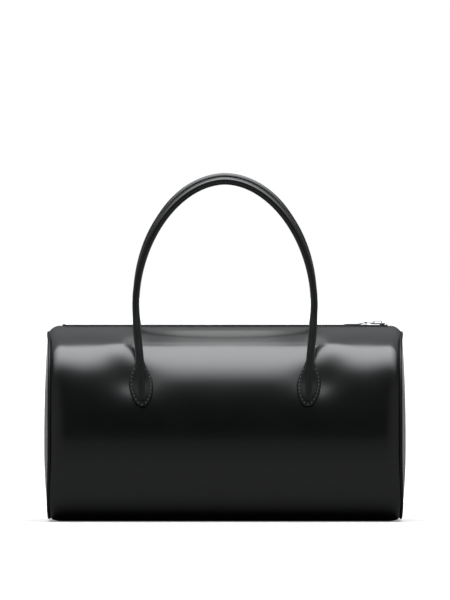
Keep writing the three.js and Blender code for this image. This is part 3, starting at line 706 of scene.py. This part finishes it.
def pull_place(u, v):
    share = (1 - math.cos(math.pi * v)) / 2
    along = mix(LINK_LENGTH - PULL_EYE, PULL_END, share)
    turn = 2 * math.pi * (round(u * PULL_SIDES) % PULL_SIDES) / PULL_SIDES
    c, s = math.cos(turn), math.sin(turn)
    across = math.copysign(abs(c) ** PULL_FLATNESS, c) * pull_half_width(along)
    up = math.copysign(abs(s) ** PULL_BULGE, s) * pull_half_height(along)
    return pull_point(along, across, up)


pull = finished(
    "puller_tab_leather",
    grid_over(pull_place, PULL_SIDES, PULL_STEPS),
    trim_leather,
    "puller",
)
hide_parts("puller_tab")

# Handle rolls: a cord wrapped in leather and sewn along its edge, so that a stitched fin stands out on
# the outside of the arch. The fin turns to the back down the legs, and each end flattens on to its tab.
HANDLE_RADIUS = 3.35
APEX_RADIUS = 3.7  # the roll is a little fuller over the apex
APEX_FOOT, APEX_FULL = 237.0, 327.0  # heights where it starts to fill and is full
HANDLE_APEX = 339.7
HANDLE_SPRING = 216.0  # height where the legs run into the arch
HANDLE_SPAN = 178.4
HANDLE_FULLNESS = 1.9  # of the arch; 2 is an ellipse
HANDLE_SETBACK = 52.0  # distance from the bag's middle plane at the spring
HANDLE_APEX_SETBACK = 30.0  # and at the apex
FIN_HEIGHT = 5.2
FIN_FOOT, FIN_FULL = 180.0, 237.0  # heights where the fin starts to stand out and is full
FIN_TILT = math.radians(28)  # how far the fin leans to the back at the apex
# The fin turns outwards up the legs and over the arch: share of the turn, and the heights it is made over.
FIN_TURNS = ((0.71, 170.0, 318.0), (0.29, 298.0, 332.0))
# Outline of the fin: share of its height, and half its thickness there, in millimetres.
FIN_OUTLINE = ((0, 0.55), (0.16, 1.05), (0.5, 1.15), (0.85, 1.05), (0.96, 0.75), (1, 0.3))
LEG_LEAN = 4.1  # each leg stands this much further in at its tab
LEG_SLOPE = 0.335  # how far a leg runs back for each millimetre it rises at its tab
LEG_SWELL = 0.22  # the roll is this much thicker where it runs into its tab
LEG_SWELL_FULL, LEG_SWELL_END = 0.3, 0.75  # shares of the leg where it is full and where it ends
TAB_LEAN = 2.8  # and each tab's lower end this much further in again
TAB_THICKNESS = 1.8
TAB_FOOT_HEIGHT = 115.2
TAB_FOOT = front_angle(TAB_FOOT_HEIGHT)
HINGE_HEIGHT = 162.5
HINGE_ANGLE = front_angle(HINGE_HEIGHT)
HINGE_X = HANDLE_SPAN / 2 - LEG_LEAN
ROLL_LIFT = 2 * SEWN_GAP + TAB_THICKNESS + HANDLE_RADIUS
TAIL_FOOT = 122.0  # where the ridge on a tab dies out
TAIL_FRONT = -84.2  # the ridge's face at that place
TAIL_DEPTH = 0.8  # and its depth
TAIL_STEPS, LEG_STEPS, ARCH_STEPS = 24, 24, 60
ROLL_SIDES = 22


def tab_line(share, lift):
    """A point over the right tab's middle line. Share 0 is its lower end, and 1 the handle's bend."""
    angle = mix(TAB_FOOT, HINGE_ANGLE, share)
    return on_body(HINGE_X - TAB_LEAN * (1 - share), angle, lift)


hinge = tab_line(1, ROLL_LIFT)
rise = (tab_line(1.02, ROLL_LIFT) - tab_line(0.98, ROLL_LIFT)).normalized()  # the roll's way there


def half_roll():
    """The right half of the roll from its tail on the tab to the apex: middle, radius and flatness."""
    points = []
    swollen = HANDLE_RADIUS * (1 + LEG_SWELL)
    for k in range(TAIL_STEPS):
        share = k / TAIL_STEPS
        z = mix(TAIL_FOOT, hinge.z, share)
        x = HINGE_X - TAB_LEAN * (hinge.z - z) / (hinge.z - TAB_FOOT_HEIGHT)
        deep = mix(TAIL_DEPTH, swollen, share)
        front = mix(TAIL_FRONT, hinge.y - swollen, share)
        points.append((Vector((x, front + deep, z)), swollen, deep / swollen))
    spring = Vector((HANDLE_SPAN / 2, -HANDLE_SETBACK, HANDLE_SPRING))
    apex_slope = (HANDLE_SETBACK - HANDLE_APEX_SETBACK) / (HANDLE_APEX - HANDLE_SPRING)
    leg = spring - hinge
    up = (leg.y - apex_slope * leg.z) / (LEG_SLOPE - apex_slope)
    bend = hinge + Vector((leg.x, LEG_SLOPE * up, up))
    for k in range(LEG_STEPS):
        t = k / LEG_STEPS
        point = hinge * (1 - t) ** 2 + bend * 2 * t * (1 - t) + spring * t * t
        swell = LEG_SWELL * smooth(LEG_SWELL_END, LEG_SWELL_FULL, t)
        points.append((point, HANDLE_RADIUS * (1 + swell), 1))
    power = 2 / HANDLE_FULLNESS
    for k in range(ARCH_STEPS + 1):
        turn = math.pi / 2 * k / ARCH_STEPS
        s, c = math.sin(turn), max(math.cos(turn), 0)
        x = HANDLE_SPAN / 2 * c**power
        y = -mix(HANDLE_SETBACK, HANDLE_APEX_SETBACK, s)
        z = mix(HANDLE_SPRING, HANDLE_APEX, s**power)
        radius = mix(HANDLE_RADIUS, APEX_RADIUS, smooth(APEX_FOOT, APEX_FULL, z))
        points.append((Vector((x, y, z)), radius, 1))
    return points


right_half = half_roll()
roll_line = [(Vector((-p.x, p.y, p.z)), *more) for p, *more in right_half] + right_half[-2::-1]


def roll_frame(at):
    """At a point of the roll: its middle, the fin's way out, the way across the fin, the fin's height."""
    middle = roll_line[at][0]
    before = roll_line[max(at - 1, 0)][0]
    after = roll_line[min(at + 1, len(roll_line) - 1)][0]
    run = (after - before).normalized()
    front = Vector((0, -1, 0))
    front = (front - run * front.dot(run)).normalized()
    out = front.cross(run)
    share = sum(part * smooth(low, high, middle.z) for part, low, high in FIN_TURNS)
    turn = mix(math.pi / 2, FIN_TILT, share)
    fin_way = out * math.cos(turn) - front * math.sin(turn)
    return middle, fin_way, fin_way.cross(run), FIN_HEIGHT * smooth(FIN_FOOT, FIN_FULL, middle.z)


def roll_section(radius, fin):
    """The section as (out, across) pairs: up one side of the fin, down the other, and round the roll."""
    outline = [(math.sqrt(radius**2 - half**2) + share * fin, half) for share, half in FIN_OUTLINE]
    outline += [(out, -half) for out, half in reversed(outline)]
    start = math.asin(FIN_OUTLINE[0][1] / radius)
    for k in range(1, ROLL_SIDES):
        turn = -mix(start, 2 * math.pi - start, k / ROLL_SIDES)
        outline.append((radius * math.cos(turn), radius * math.sin(turn)))
    return outline


def tube_over(rows, way):
    """A closed tube through rows of points, drawn to a point at each end. way -1 turns it to the rear."""
    sides = len(rows[0])

    def place(u, v):
        at = round(v * (len(rows) + 1)) - 1
        if at < 0 or at == len(rows):
            row = rows[0] if at < 0 else rows[-1]
            point = sum(row, Vector()) / sides
        else:
            point = rows[at][round(u * sides) % sides]
        return Vector((way * point.x, way * point.y, point.z))

    return grid_over(place, sides, len(rows) + 1)


cover_rows = []
for at, (_, radius, flat) in enumerate(roll_line):
    middle, fin_way, across, fin = roll_frame(at)
    cover_rows.append([middle + fin_way * a * flat + across * b for a, b in roll_section(radius, fin)])
for way, name in ((1, "front"), (-1, "rear")):
    roll = finished(f"handle_roll_{name}_leather", tube_over(cover_rows, way), trim_leather)
    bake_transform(roll)
    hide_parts(f"handle_cover_{name}")

# Handle cords: three strands of raw cotton twisted together, which fill the rolls and keep them round.
# Each runs inside its roll from tab to tab, and ends where the roll flattens.
CORE_RADIUS = 1.6
CORE_LAY = 14.0  # length of one full twist of the three strands
CORE_RELIEF = 0.1  # share of the radius that each strand stands out by
CORE_SIDES = 18

# Cotton cord: undyed and loosely twisted, so it is cream and matt, with slanting bands.
core_cord, tree, shader = blank("twisted_cotton_cord")
where = add(tree, "ShaderNodeTexCoord").outputs["Object"]
STRAND = 1.2 * MM  # width of a slanting band
strands = add(
    tree,
    "ShaderNodeTexWave",
    {"Vector": where, "Scale": 1 / (20 * STRAND)},
    bands_direction="DIAGONAL",
)
cord_mix = add(tree, "ShaderNodeMix", {"Factor": strands.outputs["Fac"]}, data_type="RGBA")
cord_mix.inputs[6].default_value = linear("#9c917d")
cord_mix.inputs[7].default_value = linear("#c4b9a4")
tree.links.new(cord_mix.outputs[2], shader.inputs["Base Color"])
shader.inputs["Roughness"].default_value = 0.95

core_rows, run, last = [], 0.0, None
for at, (_, _, flat) in enumerate(roll_line):
    if flat < 1:
        continue
    middle, fin_way, across, _ = roll_frame(at)
    run += (middle - last).length if last else 0
    last = middle
    row = []
    for k in range(CORE_SIDES):
        turn = k * math.pi / (CORE_SIDES / 2)
        lobe = CORE_RADIUS * (1 + CORE_RELIEF * math.cos(3 * turn + 2 * math.pi * run / CORE_LAY))
        row.append(middle + fin_way * math.cos(turn) * lobe + across * math.sin(turn) * lobe)
    core_rows.append(row)
for way, name in ((1, "front"), (-1, "rear")):
    core = finished(f"handle_core_{name}_cord", tube_over(core_rows, way), core_cord)
    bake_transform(core)
    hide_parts(f"handle_core_{name}")

# Handle tabs: teardrops of the smooth calf under the ends of each roll, with rounded, painted edges. They
# are sewn through the body to the backings behind it, and the roll lifts their upper ends.
TAB_WIDTH = 24.0
TAB_NECK = 8.4
TAB_BELLY = 0.45  # share of the length where the tab is widest
TAB_RISE = 4.8  # how far the roll lifts the tab's upper end
TAB_RISE_EDGE = 0.6  # the lift fades over this width at the edges
TAB_SEAT = 0.2  # the tab's underside lies this far off the leather
TAB_BEVEL = 0.16  # share of the way in from the rim over which the edge is rounded
TAB_RIM = 0.35  # share of the thickness at the rim
STITCH_DRAW = 0.25  # the stitches draw the rim in this far
STITCH_SHARE, STITCH_SPREAD = 0.81, 0.04  # at this share of the way out, over this share
TAB_LENGTH = (tab_line(1, 0) - tab_line(0, 0)).length
OUTLINE_STEPS = 72
TAB_RINGS = 40


def tab_half_width(share):
    if share < TAB_BELLY:
        return TAB_WIDTH / 2 * math.sqrt(max(1 - (1 - share / TAB_BELLY) ** 2, 0))
    fall = (1 + math.cos(math.pi * (share - TAB_BELLY) / (1 - TAB_BELLY))) / 2
    return mix(TAB_NECK, TAB_WIDTH, fall) / 2


def tab_outline(steps):
    """The teardrop as (across, share) pairs, up its right side and down its left."""
    half = [(1 - math.cos(math.pi * k / (steps // 2))) / 2 for k in range(steps // 2 + 1)]
    right = [(tab_half_width(share), share) for share in half]
    return right[:-1] + [(-a, share) for a, share in reversed(right)][:-1]


def tab_point(across, share, lift, way, hand, face=True):
    """A point over a tab. Its face is stiff: the roll lifts it, and it doesn't follow the hollows."""
    angle = mix(TAB_FOOT, HINGE_ANGLE, share)
    middle = HINGE_X - TAB_LEAN * (1 - share)
    x = middle + across
    if face:
        z = section(angle, *drawn_in(middle))[1]
        stiff = TAB_RISE * share + hollow(x, z) - hollow(middle, z)
        lift += stiff * smooth(0, TAB_RISE_EDGE, tab_half_width(share) - abs(across))
    point = on_body(x, angle, lift)
    return Vector((hand * point.x, way * point.y, point.z))


def tab_place(way, hand):
    outline = tab_outline(OUTLINE_STEPS)

    def place(u, v):
        # The upper face runs from the middle to the rim, and the underside back to the middle.
        out = min(2 * v, 2 - 2 * v)
        across, share = outline[round(u * OUTLINE_STEPS) % OUTLINE_STEPS]
        lift = TAB_SEAT
        if v <= 0.5:
            edge = min((1 - out) / TAB_BEVEL, 1)
            lift += TAB_THICKNESS * mix(TAB_RIM, 1, math.sqrt(1 - (1 - edge) ** 2))
            lift -= STITCH_DRAW * math.exp(-(((out - STITCH_SHARE) / STITCH_SPREAD) ** 2))
        return tab_point(across * out, mix(TAB_BELLY, share, out), lift, way, hand, v <= 0.5)

    return place


for way, face in ((1, "front"), (-1, "rear")):
    for hand, name in ((1, "right"), (-1, "left")):
        tab = finished(
            f"handle_tab_{face}_{name}_leather",
            grid_over(tab_place(way, hand), OUTLINE_STEPS, TAB_RINGS),
            trim_leather,
            "bag",
        )
        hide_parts(f"handle_tab_{face}_{name}")

# Stitches: waxed polyester thread, a shade lighter than the leather, in rows round the tabs, along the
# fins of the handles and beside the zip. Each stitch is pulled tight and lies half sunk in the leather.
TAB_THREAD = (3.9, 2.2, 0.8)  # pitch, length and thickness of a row's stitches
TAB_THREAD_LIFT = 0.15
TAB_THREAD_IN = 2.2  # distance of the row from a tab's edge
TAB_THREAD_TOP = 0.75  # share of the tab's length where the row stops
TAB_THREAD_POINTS = 160
NECK_LEFT, NECK_RIGHT = 90, 71  # points where the row starts, to go round the foot, and ends
FIN_THREAD = (2.9, 2.0, 0.6)
FIN_THREAD_START = 0.9  # the row starts where the fin has this share of its height
FIN_THREAD_SHARE = 0.33  # share of the fin's height that the row runs at
FIN_THREAD_OUT = 1.0  # distance of the row from the fin's middle
ZIP_THREAD = (3.2, 2.3, 0.7)
ZIP_THREAD_LIFT = 0.1
ZIP_THREAD_Y = MOUTH / 2 + 2.0
ZIP_THREAD_STEPS = 120

# Waxed thread: dark grey and smooth, so that each stitch catches a small point of light.
thread, tree, shader = blank("waxed_polyester_thread")
where = add(tree, "ShaderNodeTexCoord").outputs["Object"]
PLY = 0.5 * MM  # spacing of the thread's plies
ply = add(tree, "ShaderNodeTexNoise", {"Vector": where, "Scale": 1 / PLY, "Detail": 2.0})
ply_mix = add(tree, "ShaderNodeMix", {"Factor": ply.outputs["Fac"]}, data_type="RGBA")
ply_mix.inputs[6].default_value = linear("#4a4c4e")
ply_mix.inputs[7].default_value = linear("#8b8e90")
tree.links.new(ply_mix.outputs[2], shader.inputs["Base Color"])
shader.inputs["Roughness"].default_value = 0.55


def stitch_row(bm, line, pitch, length, thick, ways):
    """Stitches along a line of points in millimetres. ways gives the leather's way out at each point."""
    run = [0.0]
    for a, b in zip(line, line[1:]):
        run.append(run[-1] + (b - a).length)
    count = max(int(run[-1] / pitch), 1)
    at = 0
    for k in range(count):
        target = run[-1] * (k + 0.5) / count
        while run[at + 1] < target:
            at += 1
        share = (target - run[at]) / (run[at + 1] - run[at])
        middle = line[at].lerp(line[at + 1], share) * MM
        ahead = (line[at + 1] - line[at]).normalized()
        out = ways[at].lerp(ways[at + 1], share)
        out = (out - ahead * out.dot(ahead)).normalized()
        turn = Matrix((ahead, out.cross(ahead), out)).transposed().to_4x4()
        size = Matrix.Diagonal((length / 2 * MM, thick / 2 * MM, thick / 2 * MM, 1))
        bmesh.ops.create_uvsphere(
            bm,
            u_segments=6,
            v_segments=5,
            radius=1,
            matrix=Matrix.Translation(middle) @ turn @ size,
        )


for way, face in ((1, "front"), (-1, "rear")):
    bm = bmesh.new()
    for hand in (1, -1):
        flat = [Vector((across, share * TAB_LENGTH)) for across, share in tab_outline(TAB_THREAD_POINTS)]
        flat = flat[NECK_LEFT:] + flat[:NECK_RIGHT]
        inner = []
        for a, b, c in zip(flat, flat[1:], flat[2:]):
            along = (c - a).normalized()
            inner.append(b + Vector((-along.y, along.x)) * TAB_THREAD_IN)
        inner = [p for p in inner if p.y < TAB_THREAD_TOP * TAB_LENGTH]
        line, over = (
            [tab_point(p.x, p.y / TAB_LENGTH, lift + TAB_THICKNESS, way, hand) for p in inner]
            for lift in (TAB_THREAD_LIFT, TAB_THREAD_LIFT + 1)
        )
        stitch_row(bm, line, *TAB_THREAD, [b - a for a, b in zip(line, over)])
    finished(f"tab_stitches_{face}", bm, thread, "bag")

for way, name in ((1, "front"), (-1, "rear")):
    bm = bmesh.new()
    for face in (1, -1):
        line, out = [], []
        for at in range(len(roll_line)):
            middle, fin_way, across, fin = roll_frame(at)
            if fin > FIN_THREAD_START * FIN_HEIGHT:
                point = middle + fin_way * (roll_line[at][1] + FIN_THREAD_SHARE * fin)
                point += across * face * FIN_THREAD_OUT
                line.append(Vector((way * point.x, way * point.y, point.z)))
                out.append(Vector((way * across.x, way * across.y, across.z)) * face)
        stitch_row(bm, line, *FIN_THREAD, out)
    finished(f"handle_stitches_{name}", bm, thread, f"handle_{name}")

bm = bmesh.new()
stations = [mix(-ROUND_START, ROUND_START, k / ZIP_THREAD_STEPS) for k in range(ZIP_THREAD_STEPS + 1)]
for angle in (crown_angle(ZIP_THREAD_Y), math.pi - crown_angle(ZIP_THREAD_Y)):
    line = [on_body(x, angle, ZIP_THREAD_LIFT) for x in stations]
    over = [on_body(x, angle, ZIP_THREAD_LIFT + 1) for x in stations]
    stitch_row(bm, line, *ZIP_THREAD, [b - a for a, b in zip(line, over)])
finished("zip_stitches", bm, thread, "bag")

# Studio: a white floor, a wide soft light overhead, a pale backdrop behind and to the sides, and a dark
# room in front, which polished black leather needs to look black.
FLOOR_REACH = 30
FLOOR_GLOW = 0.3
ROOM_GLOW = 0.008  # what the dark room still gives back
LOWEST = 0.02  # keeps the slopes below finite at the horizon
floor_bm = bmesh.new()
bmesh.ops.create_grid(floor_bm, x_segments=1, y_segments=1, size=FLOOR_REACH)
floor_mesh = bpy.data.meshes.new("studio_floor")
floor_bm.to_mesh(floor_mesh)
floor_bm.free()
floor = bpy.data.objects.new("studio_floor", floor_mesh)
bpy.context.collection.objects.link(floor)

# Matt white paint: the camera sees it bright and without a gleam, and the leather sees it as a mid grey.
floor_paint, tree, shader = blank("matt_white_floor")
shader.inputs["Base Color"].default_value = linear("#f4f4f4")
shader.inputs["Roughness"].default_value = 0.9
shader.inputs["Specular IOR Level"].default_value = 0.0
shader.inputs["Emission Color"].default_value = (1, 1, 1, 1)
shader.inputs["Emission Strength"].default_value = FLOOR_GLOW
dim = add(tree, "ShaderNodeBsdfDiffuse", {"Color": linear("#747474")})
seen = add(tree, "ShaderNodeLightPath").outputs["Is Camera Ray"]
either = add(tree, "ShaderNodeMixShader", {0: seen, 1: dim.outputs[0], 2: shader.outputs[0]})
tree.links.new(either.outputs[0], tree.nodes["Material Output"].inputs["Surface"])
floor_mesh.materials.append(floor_paint)

world = bpy.data.worlds.new("studio")
bpy.context.scene.world = world
world.use_nodes = True
tree = world.node_tree
tree.nodes.clear()
direction = add(tree, "ShaderNodeTexCoord").outputs["Generated"]
axes = add(tree, "ShaderNodeSeparateXYZ", {0: direction}).outputs
height = add(tree, "ShaderNodeMath", {0: axes["Z"], 1: LOWEST}, operation="MAXIMUM").outputs[0]
back_slope = add(tree, "ShaderNodeMath", {0: axes["Y"], 1: height}, operation="DIVIDE").outputs[0]
side_slope = add(tree, "ShaderNodeMath", {0: axes["X"], 1: height}, operation="DIVIDE").outputs[0]
side_slope = add(tree, "ShaderNodeMath", {0: side_slope}, operation="ABSOLUTE").outputs[0]
sideways = add(tree, "ShaderNodeMath", {0: axes["X"]}, operation="ABSOLUTE").outputs[0]
# Soft steps of the light by direction: what is measured, where it starts and ends, and from what to what.
STEPS = {
    "box_front": (back_slope, -1.0, -0.3, 0, 4.7),
    "box_back": (back_slope, 0.07, 0.27, 1, 0),
    "box_sides": (side_slope, 0.1, 1.3, 1, 0),
    "backdrop": (axes["Y"], 0.1, 0.4, 0, 1),
    "backdrop_rise": (axes["Z"], 0.15, 0.95, 0.08, 0.48),
    "sides": (sideways, 0.08, 0.45, 0, 0.18),
    "side_tops": (axes["Z"], 0.3, 0.6, 1, 0),
    "behind": (axes["Y"], 0.97, 0.995, 0, 1),
    "low": (axes["Z"], 0.1, 0.35, 1, 0),
}
step = {}
for name, (value, low, high, start, end) in STEPS.items():
    step[name] = add(
        tree,
        "ShaderNodeMapRange",
        {"Value": value, "From Min": low, "From Max": high, "To Min": start, "To Max": end},
        interpolation_type="SMOOTHSTEP",
    ).outputs["Result"]
box = add(tree, "ShaderNodeMath", {0: step["box_front"], 1: step["box_back"]}, operation="MULTIPLY")
box = add(tree, "ShaderNodeMath", {0: box.outputs[0], 1: step["box_sides"]}, operation="MULTIPLY")
backdrop = add(
    tree, "ShaderNodeMath", {0: step["backdrop"], 1: step["backdrop_rise"]}, operation="MULTIPLY"
)
sides = add(tree, "ShaderNodeMath", {0: step["sides"], 1: step["side_tops"]}, operation="MULTIPLY")
walls = add(tree, "ShaderNodeMath", {0: backdrop.outputs[0], 1: sides.outputs[0]}, operation="MAXIMUM")
lit = add(tree, "ShaderNodeMath", {0: box.outputs[0], 1: walls.outputs[0]}, operation="ADD")
glow = add(tree, "ShaderNodeMath", {0: lit.outputs[0], 1: ROOM_GLOW}, operation="ADD")
studio = add(tree, "ShaderNodeBackground", {"Color": linear("#fbfdff"), "Strength": glow.outputs[0]})
white = add(tree, "ShaderNodeBackground", {"Color": (1, 1, 1, 1), "Strength": 1.0})
# The camera sees white all round, and mirror-like surfaces see it where it is behind the bag.
ray = add(tree, "ShaderNodeLightPath").outputs
mirrored = add(
    tree, "ShaderNodeMath", {0: ray["Is Glossy Ray"], 1: ray["Is Transmission Ray"]}, operation="MAXIMUM"
)
for name in ("behind", "low"):
    mirrored = add(tree, "ShaderNodeMath", {0: mirrored.outputs[0], 1: step[name]}, operation="MULTIPLY")
seen = add(tree, "ShaderNodeMath", {0: ray["Is Camera Ray"], 1: mirrored.outputs[0]}, operation="MAXIMUM")
either = add(tree, "ShaderNodeMixShader", {0: seen.outputs[0], 1: studio.outputs[0], 2: white.outputs[0]})
add(tree, "ShaderNodeOutputWorld", {"Surface": either.outputs[0]})

# A narrow lamp hangs over the back, and lights the middle of the crown.
LAMP_WIDTH, LAMP_LENGTH, LAMP_GLOW = 0.11, 0.42, 0.8
LAMP_PLACE = (0, 0.19, 0.6)
lamp_data = bpy.data.lights.new("crown_lamp", "AREA")
lamp_data.shape = "RECTANGLE"
lamp_data.size, lamp_data.size_y = LAMP_WIDTH, LAMP_LENGTH
lamp_data.energy = math.pi * LAMP_WIDTH * LAMP_LENGTH * LAMP_GLOW
lamp = bpy.data.objects.new("crown_lamp", lamp_data)
lamp.location = LAMP_PLACE
lamp.visible_camera = False
bpy.context.collection.objects.link(lamp)

# Camera: a long lens far in front of the bag, level with the handle's top and aimed just above the crown,
# so that the view is nearly flat and looks down only a little.
CAMERA_PLACE = Vector((0, -16.0, 0.342))
CAMERA_AIM = Vector((0, 0, 0.2207))
lens = bpy.data.cameras.new("camera")
lens.lens = 960
lens.sensor_width = 36
lens.clip_end = 100
camera = bpy.data.objects.new("camera", lens)
camera.location = CAMERA_PLACE
camera.rotation_euler = (CAMERA_AIM - CAMERA_PLACE).to_track_quat("-Z", "Y").to_euler()
bpy.context.collection.objects.link(camera)
bpy.context.scene.camera = camera
bpy.context.scene.view_settings.view_transform = "Standard"
